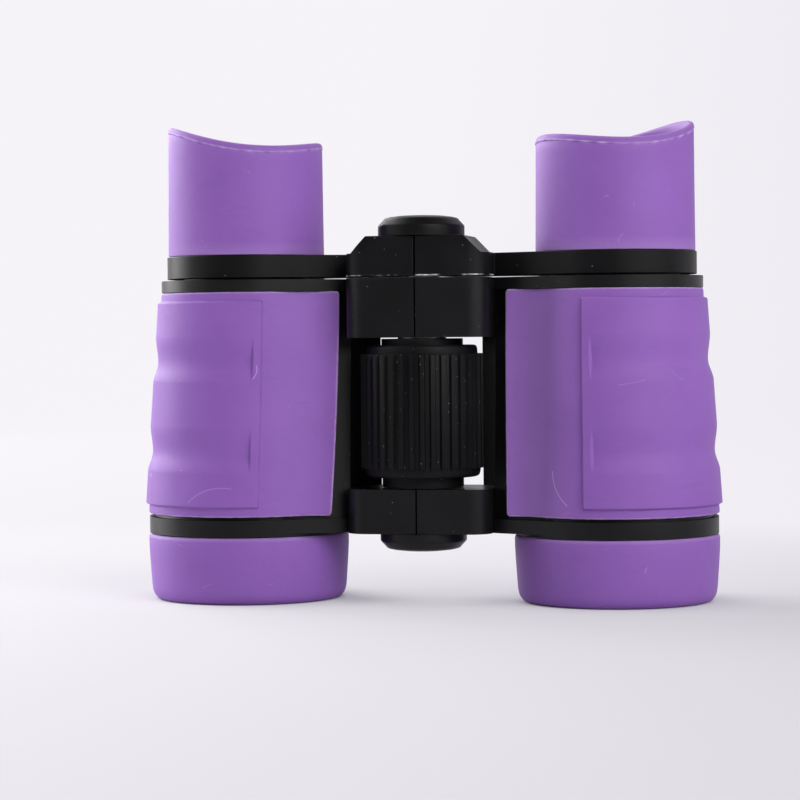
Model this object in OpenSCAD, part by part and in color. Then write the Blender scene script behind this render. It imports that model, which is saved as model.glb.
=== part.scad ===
// Child's folding binoculars standing on their objective hoods, eyecups up.
// Two barrels fold about a centre hinge, and a focus wheel lifts both oculars.
// Millimetres. X runs across the barrels, -Y is the wheel side, Z is up.

/* [Layout] */
// Distance between the barrel axes with the hinge fully open
barrel_spacing = 68; // [66:0.5:76]
// How far the bridge's front face lies behind the front of the ocular arms
bridge_setback = 0.3; // [0.1:0.05:0.8]
// How far the right half is able to fold, in degrees
fold_max = 50; // [30:1:50]
// Rise of the oculars over their whole focus travel
focus_travel = 5; // [3:0.25:6]
// Rise of the oculars for one whole turn of the wheel
focus_lead = 6; // [5:0.25:8]

/* [Objective end] */
// Height of the rubber objective hood
hood_h = 12.2; // [10:0.1:14]
// Radius of the hood at its widest
hood_r = 18.35; // [17:0.05:20]
// Wall of the hood round the barrel's spigot
hood_wall = 2.15; // [1.8:0.05:2.5]
// How much narrower the hood is just above its rounded foot
hood_taper = 0.35; // [0.1:0.05:0.6]
// Radius of the rounding at the hood's foot
hood_round = 1.6; // [0.8:0.1:1.6]
// Bevel round the hood's upper edge
hood_bevel = 0.4; // [0.2:0.05:0.8]
// Height of the hood's straight band below that bevel
hood_band_h = 2; // [1.5:0.1:3]
// How far the hood's inner lip reaches in below the spigot
hood_lip_w = 1; // [0.6:0.05:1.2]
// Height of the hood's inner lip below the barrel
hood_lip_h = 4; // [3:0.25:5]
// Wall of the spigot round the objective lens
spigot_wall = 1.1; // [0.8:0.05:1.4]
// Thickness of the objective lens at its edge
objective_edge = 1.8; // [1.2:0.1:2.2]
// Depth of the objective lens ring above the barrel's open end
objective_recess = 1; // [0.5:0.1:1.5]
// Radius of curvature of the objective lens
objective_curve_r = 90; // [70:1:140]
// Height of the ring that holds the objective lens
objective_retainer_h = 1.6; // [1:0.1:2]

/* [Barrels] */
// Height of the black ring above the hood
lower_ring_h = 3; // [2:0.1:4]
// How far the black ring above the hood steps back from it
lower_ring_step = 0.15; // [0.05:0.05:0.4]
// Height of the black ring below the ocular arm
upper_ring_h = 2.1; // [1.5:0.1:3]
// How far the black ring below the ocular arm stands out from it
upper_ring_step = 1.1; // [0.6:0.05:1.4]
// Wall of the barrel
barrel_wall = 1.6; // [1.2:0.1:2]
// Length of the bore that guides the eyepiece tube
guide_len = 10; // [8:0.5:14]
// Angle at which the web leaves the barrel, from its front
web_angle = 27; // [22:1:32]
// How far the web reaches behind the barrel axes
web_back = 2.25; // [1.5:0.25:4]

/* [Grips] */
// Height of the rubber grip
grip_h = 40.3; // [36:0.1:44]
// Gap between the lower black ring and the grip
grip_gap = 0.5; // [0.2:0.1:0.8]
// Thickness of the rubber grip
grip_t = 1.2; // [0.8:0.1:1.5]
// Distance of the grip's inner edge from the bridge's side at its lower end
grip_inset_low = 3; // [2.5:0.1:4]
// Distance of the grip's inner edge from the bridge's side at its upper end
grip_inset_high = 2; // [1.6:0.1:3]
// How far the finger panel stands proud of the grip
panel_rise = 0.65; // [0.4:0.05:0.8]
// Margin of plain grip above and below the finger panel
panel_margin = 1.8; // [1:0.1:3]
// Angle by which the finger panel passes the barrel's front and back
panel_over = 18; // [10:1:24]
// Angle of plain panel left at the ends of the finger grooves
groove_margin = 5.5; // [3:0.5:8]
// Height of each finger groove
groove_h = 8.4; // [7:0.1:10]
// Depth of each finger groove
groove_depth = 0.55; // [0.3:0.05:0.6]
// Height of the lower finger groove's middle above the grip's lower end
groove_low = 12.2; // [10:0.1:14]
// Distance between the middles of the finger grooves
groove_pitch = 16.1; // [14:0.1:18]

/* [Oculars] */
// Thickness of the ocular arm
ocular_h = 4.1; // [3.5:0.1:5]
// Wall of the ocular arm round the eyepiece tube
ocular_wall = 3; // [2.5:0.05:3.5]
// Rise of the ocular hub above the arm
ocular_hub_rise = 3; // [2:0.1:4]
// Width of the ocular hub's sloping shoulder
ocular_shoulder_w = 2.9; // [2.5:0.05:4]
// Distance of that shoulder's foot from the bridge's side
ocular_shoulder_inset = 1.3; // [0.1:0.05:2]
// How far the ocular hub reaches behind the hinge axis
ocular_hub_back = 6; // [6:0.25:8]
// Gap below the ocular arm with the oculars fully down
ocular_gap = 0.3; // [0.2:0.05:0.5]
// Outer radius of the eyepiece tube
tube_r = 11.5; // [11.2:0.05:11.8]
// Wall of the eyepiece tube
tube_wall = 1.3; // [1:0.1:1.6]
// Length of the eyepiece tube above the ocular arm
tube_top_len = 9.5; // [8:0.1:12]
// Length of the eyepiece tube below the ocular arm
tube_low_len = 12.5; // [11:0.5:16]
// Wall of the tube round the eyepiece lens
eyepiece_wall = 2.4; // [2:0.1:3]
// Thickness of the eyepiece lens at its edge
eyepiece_edge = 2.6; // [2:0.1:3]
// Radius of curvature of the hollow eyepiece lens
eyepiece_curve_r = 32; // [26:1:60]
// Height of the ring that holds the eyepiece lens
eyepiece_retainer_h = 1.2; // [0.8:0.1:1.6]
// Height of the ledge that the eyepiece lens sits on
eyepiece_ledge_h = 1.5; // [1:0.1:2]
// Width of the ledge that each lens sits on
lens_ledge = 1; // [0.6:0.1:1.4]

/* [Eyecups] */
// Wall of the eyecup round the tube
eyecup_wall = 2.75; // [2.4:0.05:3]
// How much narrower the eyecup is at its rim
eyecup_taper = 0.15; // [0:0.05:0.4]
// How much wider the eyecup's open bore is than the tube
eyecup_bore_step = 0.9; // [0.5:0.05:1.1]
// Height of the eyecup at the lowest point of its rim
eyecup_low_h = 19.6; // [18:0.1:24]
// Radius of the curve that the rim is cut to
eyecup_cut_r = 40; // [36:0.5:90]
// How far the rim's lowest point lies inward of the tube's axis
eyecup_cut_shift = 4; // [3:0.1:8]
// Turn of the left eyecup on its tube, in degrees
left_eyecup_turn = -15; // [-90:1:90]
// Turn of the right eyecup on its tube, in degrees
right_eyecup_turn = 32; // [0:1:90]

/* [Hinge] */
// Height of the lower bridge and the webs above the hoods
bridge_lift = 0.5; // [0.2:0.05:0.8]
// Height of the lower bridge
lower_bridge_h = 7.9; // [7:0.1:10]
// Height of the upper bridge
upper_bridge_h = 10.6; // [9:0.1:12]
// Wall of the bridge in front of the knuckle that swings in it
bridge_cover = 1; // [0.8:0.05:1.4]
// Half width of the bridge
bridge_half_w = 13; // [12.9:0.05:13.2]
// Radius of the bridge's front corners
bridge_round = 4; // [3:0.1:5]
// Gap between the two halves at the front seam
seam_gap = 0.3; // [0.2:0.05:0.6]
// Wall of the hinge knuckles
knuckle_wall = 1.5; // [1.2:0.05:1.8]
// Wall of the hinge bush round the focus screw
bush_wall = 1.05; // [0.8:0.05:1.2]
// Radius of the caps at both ends of the hinge
cap_r = 7.75; // [7.2:0.05:8]
// Height of each hinge cap
cap_h = 3.3; // [2.6:0.1:3.6]
// Height of the straight wall of each hinge cap
cap_wall_h = 1.4; // [1:0.1:1.6]
// Width of the slope round each hinge cap's end face
cap_slope_w = 1.15; // [0.8:0.05:1.6]
// Rise of each hinge cap's domed end face
cap_dome = 0.5; // [0.2:0.05:0.8]
// Radius of each cap's stem
cap_stem_r = 1.5; // [1.2:0.05:1.6]
// Length of each cap's stem
cap_stem_len = 5; // [3:0.25:6]
// Thickness of the washer under the top cap
washer_t = 0.4; // [0.3:0.05:0.8]
// Radius of the washer under the top cap
washer_r = 6; // [5:0.1:7]

/* [Focus drive] */
// Outer radius of the focus wheel
wheel_r = 11.05; // [10.5:0.05:11.5]
// Bare core left above and below a wheel that sits in the middle
wheel_end_gap = 1.7; // [1:0.1:2.5]
// How far the wheel sits above the middle of its core
wheel_lift = 0.35; // [0:0.05:0.6]
// Height of the sloping rim above and below the ribbed band
wheel_rim_h = 1.55; // [1:0.05:1.8]
// Step from the ribs in to the sloping rim
wheel_rim_step = 0.65; // [0.6:0.05:1]
// Width of the rim's slope
wheel_rim_slope_w = 0.8; // [0.5:0.05:1.2]
// Number of grooves between the wheel's ribs
wheel_grooves = 36; // [24:1:40]
// Radius of each groove between the ribs
wheel_groove_r = 0.55; // [0.4:0.05:0.6]
// Wall of the core that carries the wheel
core_wall = 2.9; // [2.4:0.05:3.2]
// Room round the wheel in the well between the webs
wheel_room = 2.15; // [1.8:0.05:2.4]
// Outer radius of the focus screw
screw_r = 3.2; // [3:0.05:3.3]
// Depth of the screw's thread
thread_depth = 0.45; // [0.3:0.05:0.5]
// Number of starts of the thread
thread_starts = 3; // [2:1:4]
// Length of the focus nut
nut_len = 7; // [6:0.25:8]
// How far the screw's collar below the left ocular knuckle stands out
collar_step = 1; // [0.7:0.05:1.2]
// Height of that collar
collar_h = 1; // [0.8:0.1:1.2]
// How far the hinge bush and pin reach into the wheel's core
journal_len = 3.4; // [3:0.1:4]

/* [Clearances] */
// Radial clearance of the hinge bush and pin in their bores
running_fit = 0.05; // [0.02:0.01:0.1]
// Radial clearance of the eyepiece tube in its guide
sliding_fit = 0.1; // [0.05:0.01:0.15]
// Radial clearance of a lens in its seat
lens_fit = 0.1; // [0.05:0.01:0.2]
// Radial clearance between the screw's thread and the nut
thread_fit = 0.2; // [0.15:0.01:0.25]
// Axial clearance between faces that turn past each other
turning_gap = 0.2; // [0.1:0.05:0.3]
// Radial clearance round a knuckle that swings
swing_gap = 0.3; // [0.25:0.05:0.4]
// Angle left between the halves behind the hinge when fully folded
fold_spare = 4; // [2:0.5:8]

/* [Hidden] */
$fn = 96;

rubber_colour = "mediumpurple";
plastic_colour = [0.13, 0.13, 0.14];
glass_colour = [0.75, 0.85, 0.9, 0.6];
metal_colour = "silver";

barrel_x = barrel_spacing / 2;
// Overlap that keeps joined shapes and cuts clean
eps = 0.02;
// How far a cut starts outside the face that it opens
cut = 1;
// Length that passes right through any piece
through = 200;
// How far a flat face sinks into the round face that it leaves
tuck = 0.04;

// Seat of each lens, and the round pieces outside it
spigot_r = hood_r - hood_wall;
hood_foot_r = hood_r - hood_taper;
hood_mouth_r = spigot_r - hood_lip_w;
objective_bore_r = spigot_r - spigot_wall;
objective_r = objective_bore_r - lens_fit;
objective_seat_r = objective_r - lens_ledge;
eyepiece_bore_r = tube_r - eyepiece_wall;
eyepiece_r = eyepiece_bore_r - lens_fit;
eyepiece_seat_r = eyepiece_r - lens_ledge;
eyecup_r = tube_r + eyecup_wall;
eyecup_rim_r = eyecup_r - eyecup_taper;
eyecup_bore_r = tube_r + eyecup_bore_step;
ocular_r = tube_r + ocular_wall;

// Rings of the barrel, and the grip that lies flush with the hood and the upper ring
lower_ring_r = hood_r - lower_ring_step;
upper_ring_r = ocular_r + upper_ring_step;
grip_r_low = hood_r;
grip_r_high = upper_ring_r;
grip_edge_low = bridge_half_w + grip_inset_low;
grip_edge_high = bridge_half_w + grip_inset_high;
ocular_hub_foot = bridge_half_w - ocular_shoulder_inset;
ocular_hub_top = ocular_hub_foot - ocular_shoulder_w;

// Levels up the barrel
ring_top = hood_h + lower_ring_h;
grip_z = ring_top + grip_gap;
grip_top = grip_z + grip_h;
body_top = grip_top + upper_ring_h;
ocular_z = body_top + ocular_gap;
ocular_top = ocular_z + ocular_h;
hub_top = ocular_top + ocular_hub_rise;
tube_top = ocular_top + tube_top_len;
tube_bottom = ocular_z - tube_low_len;
guide_z = body_top - guide_len;
objective_z = hood_lip_h + objective_recess + objective_retainer_h;
objective_seat_z = objective_z + objective_edge;
eyepiece_z = tube_top - eyepiece_retainer_h - eyepiece_edge;

// Taper of the grip, and of the barrel below it
grip_slope = (grip_r_low - grip_r_high) / grip_h;
grip_tilt = atan(grip_slope);
body_r_low = grip_r_low - grip_t;
function grip_r(z) = grip_r_low - grip_slope * (z - grip_z);
function body_r(z) = grip_r(z) - grip_t;

// Levels up the hinge
bridge_z = hood_h + bridge_lift;
lower_bridge_top = bridge_z + lower_bridge_h;
upper_bridge_z = body_top - upper_bridge_h;
wheel_z = lower_bridge_top + wheel_end_gap + wheel_lift + wheel_rim_h;
wheel_band_h = upper_bridge_z - lower_bridge_top - 2 * wheel_end_gap - 2 * wheel_rim_h;
core_z = lower_bridge_top + turning_gap;
core_top = upper_bridge_z - turning_gap;
swing_half = (fold_max + fold_spare) / 2;

// Round pieces on the hinge axis, from the screw outward
collar_r = screw_r + collar_step;
bush_bore_r = screw_r + sliding_fit;
journal_r = bush_bore_r + bush_wall;
hinge_bore_r = journal_r + running_fit;
knuckle_r = hinge_bore_r + knuckle_wall;
knuckle_clear_r = knuckle_r + swing_gap;
bridge_front = knuckle_clear_r + bridge_cover;
hinge_y = bridge_front + bridge_setback - ocular_r;
core_bore_r = hinge_bore_r;
core_r = core_bore_r + core_wall;
wheel_rim_r = wheel_r - wheel_rim_step;
wheel_rim_end_r = wheel_rim_r - wheel_rim_slope_w;
well_r = wheel_r + wheel_room;
cap_end_r = cap_r - cap_slope_w;

// Levels of the pieces on the hinge axis
washer_z = hub_top + turning_gap / 2;
top_cap_z = washer_z + washer_t;
bottom_cap_top = bridge_z - turning_gap / 2;
pin_top = core_z + journal_len;
thread_z = pin_top + turning_gap;
nut_z = thread_z + focus_travel;
thread_top = nut_z + nut_len + turning_gap;

// Thread: points round its section for each start, and the turn of each slice in degrees
start_points = 8;
thread_points = start_points * thread_starts;
thread_step = 20;
thread_crest_r = screw_r - tuck;

module to_hinge() {
    translate([0, hinge_y, 0]) children();
}

module to_right() {
    translate([barrel_x, 0, 0]) children();
}

module mirrored() {
    mirror([1, 0, 0]) children();
}

// Block whose front face is the plane that touches a cone with the grip's taper,
// where r is the cone's radius at the grip's lower end
module tangent_block(r) {
    to_right() rotate([0, 0, -web_angle])
        translate([0, tuck - r, grip_z]) rotate([-grip_tilt, 0, 0])
            translate([-through, 0, -through]) cube([through, through, 2 * through]);
}

// Plan of the web from the hinge side to the barrel, touching a circle of radius r
module web_plan(r) {
    inner_x = bridge_half_w - bridge_round;
    touch_x = barrel_x - (r - tuck) * sin(web_angle);
    touch_y = -(r - tuck) * cos(web_angle);
    inner_y = touch_y + (touch_x - inner_x) * tan(web_angle);
    polygon([[inner_x, inner_y], [touch_x, touch_y], [barrel_x, 0], [barrel_x, web_back],
             [inner_x, web_back]]);
}

// Plan of one half of the bridge, with round front corners and its back cut clear for folding
module bridge_plan() {
    front_y = hinge_y - bridge_front;
    flat_x = bridge_half_w - bridge_round;
    difference() {
        union() {
            translate([seam_gap / 2, front_y]) square([flat_x - seam_gap / 2, web_back - front_y]);
            translate([flat_x, front_y + bridge_round]) circle(bridge_round);
            translate([flat_x - eps, front_y + bridge_round])
                square([bridge_round + eps, web_back - front_y - bridge_round]);
        }
        fold_cut();
    }
}

// Wedge behind the hinge axis that the other half swings through
module fold_cut() {
    reach = web_back - hinge_y + cut;
    polygon([[-eps, hinge_y], [0, hinge_y], [reach * tan(swing_half), hinge_y + reach],
             [-eps, hinge_y + reach]]);
}

// One bridge of the right half from z upward, its web touching a circle of radius r.
// Its knuckle takes the lower or the upper half, and the other half is cut clear
module bridge(z, h, r, own_low) {
    split = z + h / 2;
    own_z = own_low ? z : split + turning_gap / 2;
    own_h = h / 2 - turning_gap / 2;
    other_z = own_low ? split - turning_gap / 2 : z - eps;
    other_h = h / 2 + turning_gap / 2 + eps;
    difference() {
        translate([0, 0, z]) linear_extrude(h) {
            bridge_plan();
            web_plan(r);
        }
        to_hinge() translate([0, 0, other_z]) cylinder(r = knuckle_clear_r, h = other_h);
    }
    to_hinge() translate([0, 0, own_z]) cylinder(r = knuckle_r, h = own_h);
}

// Barrel, web and both bridges of the right half; the left half is its mirror image
// with its knuckles below the right half's
module body_half(own_low) {
    difference() {
        union() {
            barrel_outside();
            intersection() {
                tangent_block(body_r_low);
                translate([0, 0, bridge_z]) linear_extrude(body_top - bridge_z) web_side_plan();
            }
            translate([0, 0, bridge_z]) linear_extrude(ring_top - bridge_z) web_plan(lower_ring_r);
            translate([0, 0, grip_top]) linear_extrude(upper_ring_h) web_plan(upper_ring_r);
            bridge(bridge_z, lower_bridge_h, body_r(lower_bridge_top), own_low);
            bridge(upper_bridge_z, upper_bridge_h, body_r(upper_bridge_z + upper_bridge_h), own_low);
        }
        barrel_bore();
        to_hinge() cylinder(r = hinge_bore_r, h = through);
        to_hinge() translate([0, 0, lower_bridge_top])
            cylinder(r = well_r, h = upper_bridge_z - lower_bridge_top);
    }
}

// Plan of the web behind its sloping front face
module web_side_plan() {
    inner_x = bridge_half_w - bridge_round;
    translate([inner_x, hinge_y - bridge_front])
        square([barrel_x - inner_x, web_back - hinge_y + bridge_front]);
}

module barrel_outside() {
    to_right() rotate_extrude() polygon([
        [0, hood_lip_h], [spigot_r, hood_lip_h], [spigot_r, hood_h], [lower_ring_r, hood_h],
        [lower_ring_r, ring_top], [body_r(ring_top), ring_top], [body_r(grip_top), grip_top],
        [upper_ring_r, grip_top], [upper_ring_r, body_top], [0, body_top]
    ]);
}

module barrel_bore() {
    chamber_z = objective_seat_z + barrel_wall;
    guide_r = tube_r + sliding_fit;
    to_right() rotate_extrude() polygon([
        [0, hood_lip_h - cut], [objective_bore_r, hood_lip_h - cut], [objective_bore_r, objective_seat_z],
        [objective_seat_r, objective_seat_z], [objective_seat_r, chamber_z],
        [body_r(ring_top) - barrel_wall, ring_top],
        [body_r(guide_z) - barrel_wall, guide_z - barrel_wall], [guide_r, guide_z - barrel_wall],
        [guide_r, body_top + cut], [0, body_top + cut]
    ]);
}

// Rubber sleeve of the right half: a tapered shell that laps onto the web's front
module grip() {
    difference() {
        union() {
            to_right() translate([0, 0, grip_z]) cylinder(r1 = grip_r_low, r2 = grip_r_high, h = grip_h);
            finger_panel();
            intersection() {
                tangent_block(grip_r_low);
                rotate([90, 0, 0]) translate([0, 0, -web_back]) linear_extrude(through) grip_front();
            }
        }
        to_right() translate([0, 0, grip_z - cut])
            cylinder(r1 = body_r(grip_z - cut), r2 = body_r(grip_top + cut), h = grip_h + 2 * cut);
        intersection() {
            tangent_block(body_r_low);
            translate([0, 0, grip_z - cut]) linear_extrude(grip_h + 2 * cut) translate([0, -barrel_x])
                square([barrel_x, barrel_x + web_back]);
        }
    }
}

// Front outline of the grip from its inner edge to the barrel's axis
module grip_front() {
    polygon([[grip_edge_low, grip_z], [barrel_x, grip_z], [barrel_x, grip_top],
             [grip_edge_high, grip_top]]);
}

// Raised panel on the grip's outer side, with its finger grooves
module finger_panel() {
    panel_z = grip_z + panel_margin;
    panel_h = grip_h - 2 * panel_margin;
    panel_arc = 180 + 2 * panel_over;
    groove_arc = panel_arc - 2 * groove_margin;
    // A groove's round section meets the panel's face over the groove's height
    groove_r = (groove_h * groove_h / 4 + groove_depth * groove_depth) / (2 * groove_depth);
    difference() {
        to_right() rotate([0, 0, -panel_arc / 2]) rotate_extrude(angle = panel_arc) polygon([
            [body_r(panel_z), panel_z], [grip_r(panel_z) + panel_rise, panel_z],
            [grip_r(panel_z + panel_h) + panel_rise, panel_z + panel_h],
            [body_r(panel_z + panel_h), panel_z + panel_h]
        ]);
        for (i = [0, 1]) {
            z = grip_z + groove_low + i * groove_pitch;
            to_right() rotate([0, 0, -groove_arc / 2]) rotate_extrude(angle = groove_arc)
                translate([grip_r(z) + panel_rise - groove_depth + groove_r, z])
                    intersection() {
                        circle(groove_r);
                        translate([-groove_r, -groove_h]) square([groove_r / 2, 2 * groove_h]);
                    }
        }
    }
}

// Rubber hood on the spigot, with a rounded foot and an inner lip below the barrel
module hood() {
    round_x = hood_foot_r - hood_round;
    to_right() rotate_extrude() difference() {
        union() {
            translate([round_x, hood_round]) circle(hood_round);
            polygon([
                [hood_mouth_r, 0], [round_x, 0], [round_x, hood_round], [hood_foot_r, hood_round],
                [hood_r, hood_h - hood_bevel - hood_band_h], [hood_r, hood_h - hood_bevel],
                [hood_r - hood_bevel, hood_h], [hood_mouth_r, hood_h]
            ]);
        }
        translate([0, hood_lip_h]) square([spigot_r, hood_h]);
    }
}

// Objective lens, round on both faces within a flat rim that its seat and ring hold
module objective_lens() {
    clear_r = objective_seat_r - lens_fit;
    sag = objective_curve_r - sqrt(objective_curve_r * objective_curve_r - clear_r * clear_r);
    to_right() translate([0, 0, objective_z]) rotate_extrude() {
        square([objective_r, objective_edge]);
        intersection() {
            translate([0, -sag]) square([clear_r, objective_edge + 2 * sag]);
            translate([0, objective_edge + sag - objective_curve_r]) circle(objective_curve_r, $fn = 360);
            translate([0, objective_curve_r - sag]) circle(objective_curve_r, $fn = 360);
        }
    }
}

// Ring that holds the objective lens against its seat
module objective_retainer() {
    to_right() translate([0, 0, objective_z - objective_retainer_h]) difference() {
        cylinder(r = objective_bore_r, h = objective_retainer_h);
        translate([0, 0, -cut]) cylinder(r = objective_seat_r, h = objective_retainer_h + 2 * cut);
    }
}

// Ocular arm of the right half: hub with sloping shoulders, arm, and ring round the tube
module ocular_arm(own_low) {
    hub_h = hub_top - ocular_z;
    split = ocular_z + hub_h / 2;
    own_z = own_low ? ocular_z : split + turning_gap / 2;
    own_h = hub_h / 2 - turning_gap / 2;
    other_z = own_low ? split - turning_gap / 2 : ocular_z - eps;
    other_h = hub_h / 2 + turning_gap / 2 + eps;
    difference() {
        union() {
            difference() {
                intersection() {
                    translate([0, 0, ocular_z]) linear_extrude(hub_h) {
                        bridge_plan();
                        web_plan(ocular_r);
                        to_right() circle(ocular_r);
                    }
                    union() {
                        rotate([90, 0, 0]) translate([0, 0, -through / 2])
                            linear_extrude(through) ocular_arm_front();
                        rotate([90, 0, 0]) translate([0, 0, -hinge_y - ocular_hub_back])
                            linear_extrude(through) ocular_hub_front();
                    }
                }
                to_hinge() translate([0, 0, other_z]) cylinder(r = knuckle_clear_r, h = other_h);
            }
            to_hinge() translate([0, 0, own_z]) cylinder(r = knuckle_r, h = own_h);
        }
        to_right() cylinder(r = tube_r, h = through);
        to_hinge() cylinder(r = own_low ? screw_r : screw_r + running_fit, h = through);
        if (own_low)
            to_hinge() translate([0, 0, ocular_z - eps]) cylinder(r = collar_r, h = collar_h + eps);
    }
}

// Front outline of the ocular arm without its hub
module ocular_arm_front() {
    translate([0, ocular_z]) square([barrel_x + ocular_r + cut, ocular_h]);
}

// Front outline of the ocular hub, which rises from within the arm
module ocular_hub_front() {
    root_z = ocular_z + ocular_h / 2;
    polygon([[0, root_z], [ocular_hub_foot, root_z], [ocular_hub_foot, ocular_top],
             [ocular_hub_top, hub_top], [0, hub_top]]);
}

// Eyepiece tube, open below, with a seat for its lens near the top
module eyepiece_tube() {
    bore_r = tube_r - tube_wall;
    seat_z = eyepiece_z - eyepiece_ledge_h;
    to_right() difference() {
        translate([0, 0, tube_bottom]) cylinder(r = tube_r, h = tube_top - tube_bottom);
        translate([0, 0, tube_bottom - cut]) cylinder(r = bore_r, h = seat_z - tube_bottom + cut);
        translate([0, 0, seat_z - cut]) cylinder(r = eyepiece_seat_r, h = eyepiece_ledge_h + 2 * cut);
        translate([0, 0, eyepiece_z]) cylinder(r = eyepiece_bore_r, h = tube_top - eyepiece_z + cut);
    }
}

// Eyepiece lens, flat below and hollow above
module eyepiece_lens() {
    sag = eyepiece_curve_r - sqrt(eyepiece_curve_r * eyepiece_curve_r - eyepiece_r * eyepiece_r);
    to_right() translate([0, 0, eyepiece_z]) difference() {
        cylinder(r = eyepiece_r, h = eyepiece_edge);
        translate([0, 0, eyepiece_edge - sag + eyepiece_curve_r]) sphere(eyepiece_curve_r, $fn = 180);
    }
}

// Ring that holds the eyepiece lens down
module eyepiece_retainer() {
    to_right() translate([0, 0, tube_top - eyepiece_retainer_h]) difference() {
        cylinder(r = eyepiece_bore_r, h = eyepiece_retainer_h);
        translate([0, 0, -cut]) cylinder(r = eyepiece_seat_r, h = eyepiece_retainer_h + 2 * cut);
    }
}

// Rubber eyecup pushed onto the tube, its rim cut to a curve that rises outward
module eyecup(turn) {
    rim_reach = eyecup_r + eyecup_cut_shift;
    tall = eyecup_low_h + eyecup_cut_r - sqrt(eyecup_cut_r * eyecup_cut_r - rim_reach * rim_reach) + cut;
    to_right() rotate([0, 0, turn]) difference() {
        translate([0, 0, ocular_top]) cylinder(r1 = eyecup_r, r2 = eyecup_rim_r, h = tall);
        translate([0, 0, ocular_top - cut]) cylinder(r = tube_r, h = tall);
        translate([0, 0, tube_top]) cylinder(r = eyecup_bore_r, h = tall);
        translate([-eyecup_cut_shift, 0, ocular_top + eyecup_low_h + eyecup_cut_r]) rotate([90, 0, 0])
            cylinder(r = eyecup_cut_r, h = through, center = true, $fn = 180);
    }
}

// Cap with a straight wall, a slope and a domed end, and a stem below its seating face
module hinge_cap() {
    dome_r = (cap_end_r * cap_end_r + cap_dome * cap_dome) / (2 * cap_dome);
    rotate_extrude() intersection() {
        polygon([
            [0, -cap_stem_len], [cap_stem_r, -cap_stem_len], [cap_stem_r, 0], [cap_r, 0],
            [cap_r, cap_wall_h], [cap_end_r, cap_h - cap_dome], [cap_end_r, cap_h], [0, cap_h]
        ]);
        translate([0, cap_h - dome_r]) circle(dome_r, $fn = 360);
    }
}

// Section of the thread, a round bar whose radius swells once for each start
module thread_section(extra) {
    polygon([for (i = [0:thread_points - 1])
        let (a = 360 * i / thread_points)
        let (r = thread_crest_r - thread_depth * (1 - cos(thread_starts * a)) / 2 + extra)
            [r * cos(a), r * sin(a)]]);
}

// Thread from z upward; it turns a whole turn for each lead
module thread(z, len, extra) {
    turn = 360 * len / focus_lead;
    start = -360 * z / focus_lead;
    translate([0, 0, z]) rotate([0, 0, start])
        linear_extrude(len, twist = turn, slices = ceil(turn / thread_step), segments = thread_points)
            thread_section(extra);
}

module left_barrel() { color(plastic_colour) mirrored() body_half(true); }
module right_barrel() { color(plastic_colour) body_half(false); }
module left_grip() { color(rubber_colour) mirrored() grip(); }
module right_grip() { color(rubber_colour) grip(); }
module left_hood() { color(rubber_colour) mirrored() hood(); }
module right_hood() { color(rubber_colour) hood(); }
module left_objective_lens() { color(glass_colour) mirrored() objective_lens(); }
module right_objective_lens() { color(glass_colour) objective_lens(); }
module left_objective_retainer() { color(plastic_colour) mirrored() objective_retainer(); }
module right_objective_retainer() { color(plastic_colour) objective_retainer(); }
module left_ocular_arm() { color(plastic_colour) mirrored() ocular_arm(true); }
module right_ocular_arm() { color(plastic_colour) ocular_arm(false); }
module left_eyepiece_tube() { color(plastic_colour) mirrored() eyepiece_tube(); }
module right_eyepiece_tube() { color(plastic_colour) eyepiece_tube(); }
module left_eyepiece_lens() { color(glass_colour) mirrored() eyepiece_lens(); }
module right_eyepiece_lens() { color(glass_colour) eyepiece_lens(); }
module left_eyepiece_retainer() { color(plastic_colour) mirrored() eyepiece_retainer(); }
module right_eyepiece_retainer() { color(plastic_colour) eyepiece_retainer(); }
module left_eyecup() { color(rubber_colour) mirrored() eyecup(left_eyecup_turn); }
module right_eyecup() { color(rubber_colour) eyecup(right_eyecup_turn); }

// Ribbed sleeve pressed over the core
module focus_wheel() {
    color(plastic_colour) to_hinge() difference() {
        union() {
            translate([0, 0, wheel_z]) linear_extrude(wheel_band_h) difference() {
                circle(wheel_r);
                for (i = [0:wheel_grooves - 1])
                    rotate(360 * i / wheel_grooves) translate([wheel_r, 0]) circle(wheel_groove_r, $fn = 24);
            }
            translate([0, 0, wheel_z - wheel_rim_h])
                cylinder(r1 = wheel_rim_end_r, r2 = wheel_rim_r, h = wheel_rim_h);
            translate([0, 0, wheel_z + wheel_band_h])
                cylinder(r1 = wheel_rim_r, r2 = wheel_rim_end_r, h = wheel_rim_h);
        }
        cylinder(r = core_r, h = through);
    }
}

// Core between the bridges; the bush and the pin carry its ends
module focus_core() {
    color(plastic_colour) to_hinge() translate([0, 0, core_z]) difference() {
        cylinder(r = core_r, h = core_top - core_z);
        translate([0, 0, -cut]) cylinder(r = core_bore_r, h = through);
    }
}

// Nut pressed into the core
module focus_nut() {
    color(metal_colour) to_hinge() difference() {
        translate([0, 0, nut_z]) cylinder(r = core_bore_r, h = nut_len);
        thread(nut_z - cut, nut_len + 2 * cut, thread_fit);
    }
}

// Screw that rises without turning: thread, shank, collar, and a bore for the cap's stem
module focus_screw() {
    color(metal_colour) to_hinge() difference() {
        union() {
            thread(thread_z, thread_top - thread_z + eps, 0);
            translate([0, 0, thread_top]) cylinder(r = screw_r, h = hub_top - thread_top);
            translate([0, 0, ocular_z]) cylinder(r = collar_r, h = collar_h);
        }
        translate([0, 0, top_cap_z - cap_stem_len]) cylinder(r = cap_stem_r, h = through);
    }
}

// Bush through the upper bridge; it guides the screw and carries the core's upper end
module hinge_bush() {
    bush_z = core_top - journal_len;
    color(metal_colour) to_hinge() translate([0, 0, bush_z]) difference() {
        cylinder(r = journal_r, h = body_top - bush_z);
        translate([0, 0, -cut]) cylinder(r = bush_bore_r, h = through);
    }
}

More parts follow.
